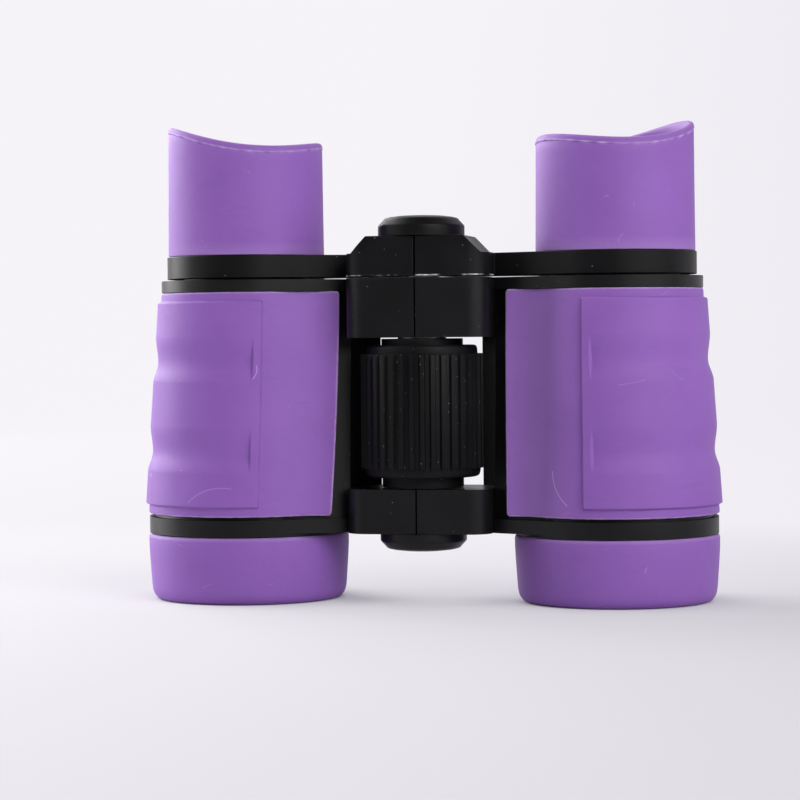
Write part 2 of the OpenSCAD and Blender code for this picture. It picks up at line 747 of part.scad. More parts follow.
// Pin through the lower bridge; it carries the core's lower end
module hinge_pin() {
    color(metal_colour) to_hinge() difference() {
        translate([0, 0, bottom_cap_top]) cylinder(r = journal_r, h = pin_top - bottom_cap_top);
        translate([0, 0, bottom_cap_top - cut]) cylinder(r = cap_stem_r, h = cap_stem_len + cut);
    }
}

module top_cap() {
    color(plastic_colour) to_hinge() translate([0, 0, top_cap_z]) hinge_cap();
}

module bottom_cap() {
    color(plastic_colour) to_hinge() translate([0, 0, bottom_cap_top]) mirror([0, 0, 1]) hinge_cap();
}

// Washer that the right ocular knuckle turns against
module cap_washer() {
    color(metal_colour) to_hinge() translate([0, 0, washer_z]) difference() {
        cylinder(r = washer_r, h = washer_t);
        translate([0, 0, -cut]) cylinder(r = cap_stem_r, h = washer_t + 2 * cut);
    }
}

left_barrel();
left_grip();
left_hood();
left_objective_lens();
left_objective_retainer();
left_ocular_arm();
left_eyepiece_tube();
left_eyepiece_lens();
left_eyepiece_retainer();
left_eyecup();
right_barrel();
right_grip();
right_hood();
right_objective_lens();
right_objective_retainer();
right_ocular_arm();
right_eyepiece_tube();
right_eyepiece_lens();
right_eyepiece_retainer();
right_eyecup();
focus_wheel();
focus_core();
focus_nut();
focus_screw();
hinge_bush();
hinge_pin();
top_cap();
cap_washer();
bottom_cap();
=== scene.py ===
import math

import bmesh
import bpy
from mathutils import Matrix, Vector, noise


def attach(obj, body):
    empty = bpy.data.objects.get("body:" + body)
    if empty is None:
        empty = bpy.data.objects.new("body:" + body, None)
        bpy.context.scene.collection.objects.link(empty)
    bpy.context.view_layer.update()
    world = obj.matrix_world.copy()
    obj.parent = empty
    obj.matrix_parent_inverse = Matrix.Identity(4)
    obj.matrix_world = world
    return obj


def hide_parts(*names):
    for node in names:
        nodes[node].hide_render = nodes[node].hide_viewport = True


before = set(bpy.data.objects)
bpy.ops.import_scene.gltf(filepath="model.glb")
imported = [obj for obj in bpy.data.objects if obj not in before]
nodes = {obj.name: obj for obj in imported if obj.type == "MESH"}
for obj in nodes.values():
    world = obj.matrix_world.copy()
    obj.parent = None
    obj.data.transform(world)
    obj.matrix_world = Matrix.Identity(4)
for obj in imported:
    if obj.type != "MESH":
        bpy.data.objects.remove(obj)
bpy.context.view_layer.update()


# Body halves: a tapered barrel each, with the web and the two bridges that carry its hinge knuckles.
# Each half is moulded in one piece from black plastic, so its outer edges have a small radius.
# Its faces are lightly scratched and dusty, and the cheeks beside the wheel are left dull from the mould.
MM = 0.001
EDGE_RADIUS = 0.22 * MM
EDGE_ANGLE = 32
FLAT_ANGLE = 0.4
WELD = 0.001 * MM
WINDOW_HALF = 16.5 * MM
WINDOW_LOW, WINDOW_HIGH = 20 * MM, 48 * MM
BLACK = (0.0052, 0.0052, 0.0058, 1)
BLACK_WORN = (0.0105, 0.0105, 0.0118, 1)
DUST = (0.3, 0.3, 0.33, 1)
# Pale colour of a painted line of light along the ocular arms' seam.
SEAM_LIGHT = (0.85, 0.84, 0.87, 1)
SEAM_LIGHT_HALF = 15 * MM


class Tone:
    """A value that changes over a surface; arithmetic on it adds Math nodes."""

    def __init__(self, finish, socket):
        self.finish = finish
        self.socket = socket

    def _math(self, operation, first, second):
        return self.finish.add("ShaderNodeMath", {"operation": operation}, {0: first, 1: second})

    def __add__(self, other):
        return self._math("ADD", self, other)

    def __sub__(self, other):
        return self._math("SUBTRACT", self, other)

    def __mul__(self, other):
        return self._math("MULTIPLY", self, other)

    def __gt__(self, other):
        return self._math("GREATER_THAN", self, other)

    def __lt__(self, other):
        return self._math("LESS_THAN", self, other)

    __radd__ = __add__
    __rmul__ = __mul__


class Finish:
    """A material in the making: its nodes, and the shader that they feed."""

    def __init__(self, name, constants):
        self.material = bpy.data.materials.new(name)
        self.material.use_nodes = True
        self.tree = self.material.node_tree
        self.shader = self.tree.nodes["Principled BSDF"]
        for socket, value in constants.items():
            self.shader.inputs[socket].default_value = value

    def add(self, kind, settings, sockets, outlet=0):
        node = self.tree.nodes.new(kind)
        for name, value in settings.items():
            if name == "stops":
                for stop, position in zip(node.color_ramp.elements, value):
                    stop.position = position
            else:
                setattr(node, name, value)
        for socket, value in sockets.items():
            self.feed(node.inputs[socket], value)
        return Tone(self, node.outputs[outlet])

    def feed(self, socket, value):
        if isinstance(value, Tone):
            self.tree.links.new(value.socket, socket)
        else:
            socket.default_value = value

    def spots(self, scale=(1, 1, 1)):
        """Object coordinates, stretched by a scale along each axis."""
        where = self.add("ShaderNodeTexCoord", {}, {}, "Object")
        return self.add("ShaderNodeMapping", {}, {"Vector": where, "Scale": scale})

    def noise(self, where, scale, detail=2.0, distortion=0.0):
        return self.add("ShaderNodeTexNoise", {}, {"Vector": where, "Scale": scale, "Detail": detail,
                                                   "Distortion": distortion})

    def cells(self, where, scale, feature, outlet):
        return self.add("ShaderNodeTexVoronoi", {"feature": feature}, {"Vector": where, "Scale": scale}, outlet)

    def ramp(self, value, low, high):
        """0 below low, 1 above high and straight between."""
        return self.add("ShaderNodeMapRange", {"clamp": True}, {"Value": value, "From Min": low, "From Max": high})

    def mix(self, share, first, second):
        return self.add("ShaderNodeMix", {"data_type": "RGBA"}, {0: share, 6: first, 7: second}, 2)

    def bump(self, height, depth, under=None):
        sockets = {"Height": height, "Distance": depth, "Strength": 1.0}
        if under:
            sockets["Normal"] = under
        return self.add("ShaderNodeBump", {}, sockets)

    def attribute(self, name):
        return self.add("ShaderNodeAttribute", {"attribute_name": name}, {}, "Fac")

    def specks(self, where, scale, share, size):
        """Round specks in a share of the cells, of a size given as a part of a cell."""
        reach = self.cells(where, scale, "F1", "Distance")
        pick = self.add("ShaderNodeSeparateColor", {}, {"Color": self.cells(where, scale, "F1", "Color")})
        return (pick < share) * (reach < size)

    def scratches(self, where, scale, width, cover):
        """Thin curved hairlines, broken up so that only a share of them shows."""
        height = self.noise(where, scale, 1.0)
        line = (height > 0.5 - width) * (height < 0.5 + width)
        return line * self.ramp(self.noise(where, scale * 3.1, 2.0), 1 - cover, 1.06 - cover)

    def arc(self, x, z, radius, left, right, low, high):
        """A thin line along part of a circle, in millimetres as seen from the front, on the front only."""
        where = self.spots((1 / MM, 1 / MM, 1 / MM))
        across, depth, height = (self.add("ShaderNodeSeparateXYZ", {}, {0: where}, axis) for axis in "XYZ")
        flat = self.add("ShaderNodeVectorMath", {"operation": "MULTIPLY"}, {0: where, 1: (1, 0, 1)})
        reach = self.add("ShaderNodeVectorMath", {"operation": "DISTANCE"}, {0: flat, 1: (x, 0, z)}, "Value")
        line = (reach > radius - SCUFF_HALF) * (reach < radius + SCUFF_HALF) * (depth < 0)
        return line * (across > left) * (across < right) * (height > low) * (height < high)

    def finish(self, colour, roughness, normal):
        self.feed(self.shader.inputs["Base Color"], colour)
        self.feed(self.shader.inputs["Roughness"], roughness)
        self.feed(self.shader.inputs["Normal"], normal)
        return self.material


def black_plastic(name, roughness, shine, grain_depth, dusty, seam_light_below=-1):
    """Moulded black plastic with a faint grain, dull patches of wear, scratches and specks of dust.

    Below a height, where one is given, it ends near the hinge in a ragged pale line: painted light along the seam.
    """
    finish = Finish(name, {"IOR": 1.5, "Specular IOR Level": shine})
    where = finish.spots()
    rub_and_painted_light = finish.ramp(finish.noise(where, 90, 4.0), 0.42, 0.72)
    scratch = finish.scratches(where, 110, 0.002, 0.4)
    dust = finish.specks(where, 700, dusty, 0.06)
    lint = finish.specks(finish.spots((1, 1, 0.4)), 1500, dusty, 0.07)
    colour = finish.mix(rub_and_painted_light * 0.45 + scratch * 0.6, BLACK, BLACK_WORN)
    across, height = (finish.add("ShaderNodeSeparateXYZ", {}, {0: where}, axis) for axis in "XZ")
    # A ragged pale line below the given height near the hinge: painted light along the seam.
    flash_and_seam_light = (height < seam_light_below) * (across > -SEAM_LIGHT_HALF) * (across < SEAM_LIGHT_HALF)
    flash_and_seam_light = flash_and_seam_light * finish.ramp(finish.noise(finish.spots((1, 1, 0.1)), 210, 3.0), 0.46, 0.6)
    colour = finish.mix(dust * 0.8 + lint * 0.4, colour, DUST)
    colour = finish.mix(flash_and_seam_light, colour, SEAM_LIGHT)
    grain = finish.noise(where, 3600, 2.0)
    swirl = finish.noise(where, 240, 2.0)
    normal = finish.bump(grain, grain_depth)
    normal = finish.bump(swirl, grain_depth * 1.5, normal)
    return finish.finish(colour, roughness + rub_and_painted_light * 0.1 + dust * 0.4 + grain * 0.06, normal)


def crease(bm, degrees):
    """Shades a mesh smooth, with a hard line where two faces meet at more than an angle."""
    for face in bm.faces:
        face.smooth = True
    for edge in bm.edges:
        edge.smooth = len(edge.link_faces) == 2 and edge.calc_face_angle(0) < math.radians(degrees)


def place(bm, name, body, slot, material, *stands_for):
    """Makes a finished mesh a piece that rides on a body and stands for its CAD nodes."""
    mesh = bpy.data.meshes.new(name)
    bm.to_mesh(mesh)
    bm.free()
    piece = bpy.data.objects.new(name, mesh)
    bpy.context.scene.collection.objects.link(piece)
    mesh.materials.append(material)
    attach(piece, body)
    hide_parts(*stands_for)
    return piece


def moulded(node, name, body, slot, material):
    """A copy of a CAD node as it leaves the mould, with a small radius on its edges."""
    bm = bmesh.new()
    bm.from_mesh(nodes[node].data)
    bmesh.ops.remove_doubles(bm, verts=bm.verts, dist=WELD)
    bmesh.ops.dissolve_limit(bm, angle_limit=math.radians(FLAT_ANGLE), verts=bm.verts, edges=bm.edges)
    crease(bm, EDGE_ANGLE)
    piece = place(bm, name, body, slot, material, node)
    soften = piece.modifiers.new("edge radius", "BEVEL")
    soften.limit_method = "ANGLE"
    soften.angle_limit = math.radians(EDGE_ANGLE)
    soften.width = EDGE_RADIUS
    soften.segments = 2
    soften.harden_normals = True
    return piece


body_plastic = black_plastic("body_plastic", 0.32, 0.18, 0.012 * MM, 0.14)
window_plastic = black_plastic("window_plastic", 0.85, 0.02, 0.03 * MM, 0.05)
for side, inward in (("left", 1), ("right", -1)):
    piece = moulded(f"{side}_barrel", f"{side}_body", f"{side}_half", "black_plastic", body_plastic)
    piece.data.materials.append(window_plastic)
    for face in piece.data.polygons:
        beside_wheel = abs(face.center.x) < WINDOW_HALF and WINDOW_LOW < face.center.z < WINDOW_HIGH
        if beside_wheel and face.normal.x * inward > 0.5:
            face.material_index = 1


# Objective lenses: moulded clear lenses, round on both faces, clipped in from below.
# A black ring holds each one against its seat inside the spigot.
GLASS = (0.93, 0.97, 0.96, 1)
GLASS_SMEARED = (0.86, 0.9, 0.89, 1)


def clear_glass():
    """Clear lens with a faint green edge and a few smears."""
    finish = Finish("lens_glass", {"IOR": 1.5, "Transmission Weight": 1.0})
    smear = finish.ramp(finish.noise(finish.spots((1, 0.4, 1)), 160, 3.0), 0.5, 0.75)
    colour = finish.mix(smear, GLASS, GLASS_SMEARED)
    normal = finish.bump(finish.noise(finish.spots(), 300, 1.0), 0.002 * MM)
    return finish.finish(colour, 0.02 + smear * 0.07, normal)


def dress(material, *names):
    """Gives CAD nodes, whose shape is right as it is, their finish."""
    for name in names:
        nodes[name].data.materials.clear()
        nodes[name].data.materials.append(material)


lens_glass = clear_glass()
dress(lens_glass, "left_objective_lens", "right_objective_lens")
dress(body_plastic, "left_objective_retainer", "right_objective_retainer")


# Objective hoods: thick purple rubber rings pushed onto the barrels' spigots, and what it all stands on.
# Each is moulded with a well rounded foot, a slight flare upwards and a dull skin that marks easily.
BARREL_X = 34
HOOD_EDGE_Z, HOOD_EDGE_W = 12.0, 0.35
HOOD_WEAR = 0.45
HOOD_PROFILE = [
    (15.2, 0.25), (15.45, 0), (15.95, 0), (16.5, 0.1), (16.98, 0.34), (17.38, 0.76), (17.64, 1.3), (17.8, 1.95),
    (17.9, 2.8), (18.05, 5), (18.22, 7.5), (18.34, 9.8), (18.35, 11.3), (18.27, 11.75), (18.0, 12.05),
    (17.7, 12.12), (16.25, 12.12), (16.25, 4), (15.2, 3.9),
]
PURPLE = (0.262, 0.115, 0.438, 1)
PURPLE_DEEP = (0.222, 0.0955, 0.381, 1)
PURPLE_PALE = (0.6, 0.45, 0.74, 1)
SOIL = (0.13, 0.07, 0.16, 1)
SPIN_STEPS = 160
MERGE = 0.0005
SCUFF_HALF = 0.07
# Each scuff: middle of its circle across and up, radius, left, right, low and high ends, strength.
SCUFFS = [
    (31.9, 23.8, 7.46, 24, 27.3, 18, 24, 0.5), (-34.3, 11.9, 9.16, -40.9, -32.5, 18.3, 21.2, 0.28),
    (-30.55, 42.1, 2.36, -29.2, -28, 40.3, 42.8, 0.5), (33.8, 65.45, 26.55, 36.2, 40.8, 38.8, 40, 0.18),
]


def purple_rubber():
    """Dull moulded rubber: uneven colour, a fine grain, pale scuffs and mould fins, soiled streaks and specks, and
    the painted light and painted highlights that a piece marks in it.
    """
    finish = Finish("purple_rubber", {"IOR": 1.48, "Specular IOR Level": 0.2})
    where = finish.spots()
    cloud = finish.ramp(finish.noise(where, 75, 5.0), 0.34, 0.66)
    mottle = finish.noise(where, 620, 5.0)
    streak = finish.ramp(finish.noise(finish.spots((1, 1, 5)), 130, 3.0, 0.4), 0.62, 0.8)
    scuff = finish.scratches(finish.spots((1, 1, 2.2)), 60, 0.0018, 0.36) * 0.28
    pale = finish.specks(where, 260, 0.06, 0.03)
    dark = finish.specks(finish.spots((1.1, 0.9, 1)), 240, 0.06, 0.03)
    for x, z, radius, left, right, low, high, strength in SCUFFS:
        scuff = scuff + finish.arc(x, z, radius, left, right, low, high) * strength
    worn = finish.attribute("worn")
    colour = finish.mix(cloud * 0.45 + mottle * 0.45, PURPLE_DEEP, PURPLE)
    colour = finish.mix(streak * 0.16 + dark * 0.7, colour, SOIL)
    colour = finish.mix(worn * 0.75 + scuff + pale * 0.55, colour, PURPLE_PALE)
    grain = finish.noise(where, 4200, 3.0)
    wave = finish.noise(where, 170, 2.0)
    normal = finish.bump(grain, 0.02 * MM)
    normal = finish.bump(wave, 0.05 * MM, normal)
    return finish.finish(colour, 0.47 + mottle * 0.14 - cloud * 0.04 + worn * 0.1, normal)


def turned(profile, steps=SPIN_STEPS):
    """A round piece about the upright axis, in millimetres, from a closed run of radii and heights."""
    bm = bmesh.new()
    ring = [bm.verts.new((radius, 0, height)) for radius, height in profile]
    edges = [bm.edges.new((a, b)) for a, b in zip(ring, ring[1:] + ring[:1])]
    bmesh.ops.spin(bm, geom=ring + edges, axis=(0, 0, 1), cent=(0, 0, 0), steps=steps,
                   angle=2 * math.pi, use_merge=True)
    bmesh.ops.remove_doubles(bm, verts=bm.verts, dist=MERGE)
    bmesh.ops.recalc_face_normals(bm, faces=bm.faces)
    return bm


def wear(bm, amount):
    """Writes how much paler each point of a rubber piece is made, for wear, mould fins and painted light."""
    layer = bm.verts.layers.float.new("worn")
    for vert in bm.verts:
        vert[layer] = amount(vert.co)


def to_metres(bm, shift):
    bmesh.ops.translate(bm, verts=bm.verts, vec=shift)
    bmesh.ops.scale(bm, verts=bm.verts, vec=(MM, MM, MM))


def near(value, middle, width):
    """1 at the middle, falling to 0 a width away."""
    return max(0, 1 - abs(value - middle) / width)


rubber = purple_rubber()
for side, x in (("left", -BARREL_X), ("right", BARREL_X)):
    bm = turned(HOOD_PROFILE)
    wear(bm, lambda point: HOOD_WEAR * near(point.z, HOOD_EDGE_Z, HOOD_EDGE_W))
    crease(bm, 50)
    to_metres(bm, (x, 0, 0))
    place(bm, f"{side}_objective_hood", f"{side}_half", "purple_rubber", rubber, f"{side}_hood")


# Grips: sheets of purple rubber moulded to the barrels, that lap onto the webs in front.
# Each has a raised finger panel round its outer side with two finger grooves in it,
# a rounded edge all round, and the ragged flash of a cheap mould along its ends.
GRIP_Z, GRIP_TOP = 15.75, 55.95
GRIP_LOW_R, GRIP_HIGH_R = 18.35, 15.6
GRIP_T = 1.15
LAP_ANGLE = 38
LAP_LEAN = 3
CORNER_R = 0.7
BACK_ANGLE = 261
PANEL_RISE = 0.62
PANEL_LOW, PANEL_HIGH = 17.5, 54.2
GROOVES = (27.75, 43.9)
GROOVE_HALF = 4.25
GROOVE_DEPTH = 0.72
GROOVE_IN, GROOVE_OUT = 5.2, 3.3
GROOVE_MARGIN = 5.5
PANEL_BACK = 198
EDGE_ROUND = 0.45
STEP_W = 0.3
SKEW_END = 60
LAP_STEPS, TURN_STEPS, ROW_STEPS = (0.07, 0.011, 0.05), (2.6, 0.4, 1.7), (0.75, 0.11, 0.5)
EDGE_FALL = 0.7
WANDER, WANDER_SCALE = 0.05, 0.13
RAGGED = 0.07
TORN_SCALE = 0.9
FLASH_AT, FLASH_W = 0.06, 0.3
# A painted highlight along the raised edge of the finger panel.
PANEL_EDGE_HIGHLIGHT = 0.3
# Each grip: side, mirror, inner edge low and high, panel's front edge low and high, painted light on the lap, seed.
GRIPS = [
    ("left", -1, 15.9, 14.75, 18.9, 24.2, 0.02, 3.1),
    ("right", 1, 15.75, 15.35, 11.8, 15.6, 0.08, 8.6),
]


def graded(start, end, marks, step, fine, reach):
    """Positions from start to end, close together within reach of the marks and the ends."""
    places = [start]
    while places[-1] < end - fine / 2:
        last = places[-1]
        close = min(abs(last + fine / 2 - mark) for mark in [start, end, *marks])
        places.append(last + fine if close < reach else min(last + step, end))
        ahead = [mark - reach for mark in [*marks, end] if last < mark - reach < places[-1]]
        if ahead:
            places[-1] = max(min(ahead), last + fine)
    places[-1] = end
    return places


def rise(distance, width):
    """0 before an edge and 1 past it, with a smooth step as wide as width."""
    share = min(1, max(0, distance / width + 0.5))
    return share * share * (3 - 2 * share)


def groove_depth(z):
    """Depth of the finger grooves at a height: a long slope from above, and a short one back out below."""
    for middle in GROOVES:
        below = middle + GROOVE_HALF - z
        if 0 < below < 2 * GROOVE_HALF:
            return GROOVE_DEPTH * rise(below - GROOVE_IN / 2, GROOVE_IN) * (
                1 - rise(below - 2 * GROOVE_HALF + GROOVE_OUT / 2, GROOVE_OUT))
    return 0


def skew(along, front, panel_edge):
    """How far a column leans at a height, so that the panel's front edge follows a column all the way up."""
    if along < -front:
        return (front - panel_edge) * (along + LAP_ANGLE) / (LAP_ANGLE - front)
    return (front - panel_edge) * min(1, max(0, (SKEW_END - along) / (SKEW_END - GROOVE_MARGIN)))


def turned_to(degrees):
    """Unit vector level with the floor, from the front of the barrel back to its axis, turned to a bearing."""
    bearing = math.radians(degrees)
    return Vector((math.sin(bearing), math.cos(bearing), 0))


def lap_fall(share):
    """How far the hollow lap has fallen back at a share of its width from its inner edge, as a part of the width."""
    lean, full = math.radians(LAP_LEAN), math.radians(LAP_ANGLE)
    here = lean + (full - lean) * share
    return math.log(math.cos(here) / math.cos(full)) / (full - lean)


def grip_sheet(mirror, edge_low, edge_high, panel_low, panel_high, lap_light, seed):
    """A grip of the right half, or of the left where mirror is -1, as a sheet with its outer face."""
    lap = [("lap", share) for share in graded(0, 1, [], *LAP_STEPS)[:-1]]
    front = (panel_low + panel_high) / 2
    edges = [-front, GROOVE_MARGIN - front, PANEL_BACK - GROOVE_MARGIN, PANEL_BACK]
    turn = [("turn", angle) for angle in graded(-LAP_ANGLE, BACK_ANGLE, edges, *TURN_STEPS)]
    columns = lap + turn
    marks = [PANEL_LOW, PANEL_HIGH]
    for middle in GROOVES:
        marks += [middle - GROOVE_HALF, middle + GROOVE_HALF]
    rows = graded(GRIP_Z, GRIP_TOP, marks, *ROW_STEPS)
    bm = bmesh.new()
    bmesh.ops.create_grid(bm, x_segments=len(columns) - 1, y_segments=len(rows) - 1, size=0.5)
    worn = bm.verts.layers.float.new("worn")
    for vert in bm.verts:
        kind, along = columns[round((vert.co.x + 0.5) * (len(columns) - 1))]
        z = rows[round((vert.co.y + 0.5) * (len(rows) - 1))]
        share = (z - GRIP_Z) / (GRIP_TOP - GRIP_Z)
        radius = GRIP_LOW_R + share * (GRIP_HIGH_R - GRIP_LOW_R)
        edge_x = edge_high + (edge_low - edge_high) * (1 - share) ** 2
        panel_edge = panel_low + share * (panel_high - panel_low)
        root = Vector((BARREL_X, 0, z)) - turned_to(LAP_ANGLE) * radius
        lap_len = (root.x - edge_x) / math.cos(math.radians((LAP_ANGLE + LAP_LEAN) / 2))
        # The lap, and the turn next to it, are painted paler: painted light that brightens the hollow lap.
        if kind == "lap":
            angle = -(LAP_LEAN + (LAP_ANGLE - LAP_LEAN) * along)
            station = -LAP_ANGLE
            rub_and_painted_light = lap_light
            to_side = lap_len * along
            face = Vector((edge_x + (root.x - edge_x) * along, root.y + lap_fall(along) * (root.x - edge_x), z))
        else:
            angle = station = along + skew(along, front, panel_edge)
            rub_and_painted_light = lap_light * near(angle, -LAP_ANGLE, LAP_ANGLE - front)
            to_side = lap_len + math.radians(angle + LAP_ANGLE) * radius
            face = Vector((BARREL_X, 0, z)) - turned_to(-angle) * radius
        to_back = math.radians(BACK_ANGLE - station) * radius
        outward = -turned_to(-angle)
        on_panel = rise(min(math.radians(station + panel_edge) * radius,
                            math.radians(PANEL_BACK - station) * radius), STEP_W)
        on_panel *= rise(min(z - PANEL_LOW, PANEL_HIGH - z), STEP_W)
        in_groove = rise(min(math.radians(station + panel_edge - GROOVE_MARGIN) * radius,
                             math.radians(PANEL_BACK - GROOVE_MARGIN - station) * radius), STEP_W)
        to_edge = min(to_side, to_back, z - GRIP_Z, GRIP_TOP - z)
        rounding = EDGE_ROUND - math.sqrt(EDGE_ROUND ** 2 - max(0, EDGE_ROUND - to_edge) ** 2)
        height = PANEL_RISE * on_panel - groove_depth(z) * in_groove - EDGE_FALL * rounding
        wander = noise.noise(Vector((to_side * WANDER_SCALE, z * WANDER_SCALE, seed)))
        height += WANDER * wander * min(1, to_edge)
        point = face + outward * height
        end = min(z - GRIP_Z, GRIP_TOP - z)
        across, along_end = max(0, CORNER_R - to_side), max(0, CORNER_R - end)
        if across and along_end:
            pull = 1 - max(across, along_end) / math.hypot(across, along_end)
            point += Vector((-outward.y, outward.x, 0)) * across * pull
            point.z += along_end * pull * (1 if z < GRIP_Z + CORNER_R else -1)
        if to_edge == 0 and z < GRIP_TOP - 1:
            ragged = noise.noise(Vector((to_side * 1.4, z * 1.1, seed + 7)))
            point.z += RAGGED * ragged if z == GRIP_Z else 0
        vert.co = Vector((mirror * point.x, point.y, point.z))
        torn = noise.noise(Vector((to_side * TORN_SCALE, z * TORN_SCALE, seed + 3)))
        flash_and_seam_light = (0.75 + 0.5 * torn) * near(to_edge, FLASH_AT, FLASH_W)
        # Paler along the ends for the mould's fins, on the lap for painted light, and along the panel's raised edge
        # for a painted highlight.
        vert[worn] = rub_and_painted_light + flash_and_seam_light + PANEL_EDGE_HIGHLIGHT * near(on_panel, 0.85, 0.14) * (to_edge > 1)
    if mirror < 0:
        bmesh.ops.reverse_faces(bm, faces=bm.faces)
    for face in bm.faces:
        face.smooth = True
    bmesh.ops.scale(bm, verts=bm.verts, vec=(MM, MM, MM))
    return bm


for side, *sizes in GRIPS:
    bm = grip_sheet(*sizes)
    piece = place(bm, f"{side}_finger_grip", f"{side}_half", "purple_rubber", rubber, f"{side}_grip")
    wall = piece.modifiers.new("rubber thickness", "SOLIDIFY")
    wall.thickness = GRIP_T * MM
    wall.offset = -1


# Hinge: a turned steel bush and pin that the two halves' knuckles swing on.
# A black moulded cap is pressed into the pin from below and hides its end.
HINGE_Y = -7
STEEL = (0.56, 0.56, 0.58, 1)
STEEL_DULL = (0.4, 0.4, 0.42, 1)
CAP_PROFILE = [
    (0, 3.3), (2, 3.28), (4, 3.18), (5.6, 2.98), (6.35, 2.8), (6.62, 2.66), (6.85, 2.36), (7.55, 1.62), (7.72, 1.4),
    (7.75, 1.2), (7.75, 0.2), (1.5, 0), (1.5, -5), (0, -5),
]
SEAT = 11
CAP_R, SKIRT_R = 7.75, 6.3
CAP_STEPS = 128
BOTTOM_CAP_Z, BOTTOM_SKIRT = 12.6, 0.05


def turned_metal(name, bright, dull, roughness):
    """Metal with the fine rings that a lathe tool leaves round it."""
    finish = Finish(name, {"Metallic": 1.0})
    rings = finish.noise(finish.spots((30, 30, 4200)), 1.0, 3.0)
    patch = finish.noise(finish.spots(), 180, 3.0)
    colour = finish.mix(rings * 0.6 + patch * 0.3, bright, dull)
    return finish.finish(colour, roughness + rings * 0.12 + patch * 0.08, finish.bump(rings, 0.01 * MM))


def hinge_cap(name, body, material, slot_node, level, up, skirt):
    """A cap whose wall runs on past its seat by a skirt, round whatever lies under it."""
    wall = [(CAP_R, -skirt), (SKIRT_R, -skirt), (SKIRT_R, 0)]
    bm = turned([*CAP_PROFILE[:SEAT], *wall, *CAP_PROFILE[SEAT:]], CAP_STEPS)
    if up < 0:
        bmesh.ops.scale(bm, verts=bm.verts, vec=(1, 1, -1))
        bmesh.ops.recalc_face_normals(bm, faces=bm.faces)
    crease(bm, 40)
    to_metres(bm, (0, HINGE_Y, level))
    place(bm, name, body, "black_plastic", material, slot_node)


steel = turned_metal("screw_steel", STEEL, STEEL_DULL, 0.24)
dress(steel, "hinge_bush", "hinge_pin")
hinge_cap("hinge_cap_below", "left_half", body_plastic, "bottom_cap", BOTTOM_CAP_Z, -1, BOTTOM_SKIRT)


# Focus drive: a ribbed black wheel pressed over a plain core, with a threaded brass nut inside.
# The wheel has 36 flat ribs for the thumb and a smooth rounded rim above and below them.
# Its plastic is duller than the body's, and dustier.
WHEEL_LOW, WHEEL_HIGH = 24.2, 44.6
WHEEL_R = 11.05
RIBS = 36
RIB_POINTS = 16
RIB_DEPTH = 0.5
GROOVE_SHARE = 0.625
RIB_WALL = 0.125
LEDGE = 3.0
RIB_ENDS = [(0, LEDGE), (0, 0.22), (0.07, 0.08), (0.22, 0)]
RIM_STEP = 1.55
RIM_STEPS = 128
RIM_BELOW = [(7.32, 0), (9.5, 0), (9.88, 0.12), (10.12, 0.38), (10.26, 0.8), (10.32, 1.56), (10.32, 2.2), (7.32, 2.2)]
RIM_ABOVE = [(7.32, 0), (9.2, 0), (9.55, 0.1), (9.75, 0.32), (9.85, 0.7), (9.9, 1.56), (9.9, 2.2), (7.32, 2.2)]
BRASS = (0.68, 0.46, 0.16, 1)
BRASS_DULL = (0.42, 0.27, 0.1, 1)


def rib_radius(bearing, inset):
    """Radius of the ribbed band at a bearing: flat ribs with sloping walls, and flat grooves as wide between."""
    share = (bearing * RIBS / (2 * math.pi)) % 1
    groove = min(1, max(0, (GROOVE_SHARE / 2 - abs(share - 0.5)) / RIB_WALL))
    return WHEEL_R - inset - (RIB_DEPTH - 0.4 * inset) * groove


def ribbed_wheel():
    """The band of ribs, drawn up from one ring of points, with its ends drawn in to a flat ledge."""
    bm = bmesh.new()
    bmesh.ops.create_circle(bm, segments=RIBS * RIB_POINTS, radius=WHEEL_R)
    levels = [(WHEEL_LOW + above, inset) for above, inset in RIB_ENDS]
    levels += [(WHEEL_LOW + WHEEL_HIGH - z, inset) for z, inset in reversed(levels)]
    ring = list(bm.edges)
    for number, (z, inset) in enumerate(levels):
        if number:
            made = bmesh.ops.extrude_edge_only(bm, edges=ring)["geom"]
            ring = [item for item in made if isinstance(item, bmesh.types.BMEdge)]
        for vert in {vert for edge in ring for vert in edge.verts}:
            bearing = math.atan2(vert.co.y, vert.co.x)
            reach = WHEEL_R - inset if inset == LEDGE else rib_radius(bearing, inset)
            vert.co = Vector((reach * math.cos(bearing), reach * math.sin(bearing), z))
    bmesh.ops.recalc_face_normals(bm, faces=bm.faces)
    return bm


wheel_plastic = black_plastic("wheel_plastic", 0.42, 0.1, 0.018 * MM, 0.4)
bm = ribbed_wheel()
for profile, level, up in ((RIM_BELOW, WHEEL_LOW - RIM_STEP, 1), (RIM_ABOVE, WHEEL_HIGH + RIM_STEP, -1)):
    rim = turned(profile, RIM_STEPS)
    bmesh.ops.scale(rim, verts=rim.verts, vec=(1, 1, up))
    bmesh.ops.translate(rim, verts=rim.verts, vec=(0, 0, level))
    bmesh.ops.recalc_face_normals(rim, faces=rim.faces)
    half = bpy.data.meshes.new("rim")
    rim.to_mesh(half)
    rim.free()
    bm.from_mesh(half)
    bpy.data.meshes.remove(half)
crease(bm, 38)
to_metres(bm, (0, HINGE_Y, 0))
place(bm, "ribbed_focus_wheel", "focus_drive", "wheel_plastic", wheel_plastic, "focus_wheel")
dress(wheel_plastic, "focus_core")
dress(turned_metal("nut_brass", BRASS, BRASS_DULL, 0.26), "focus_nut")
dress(steel, "focus_screw", "cap_washer")


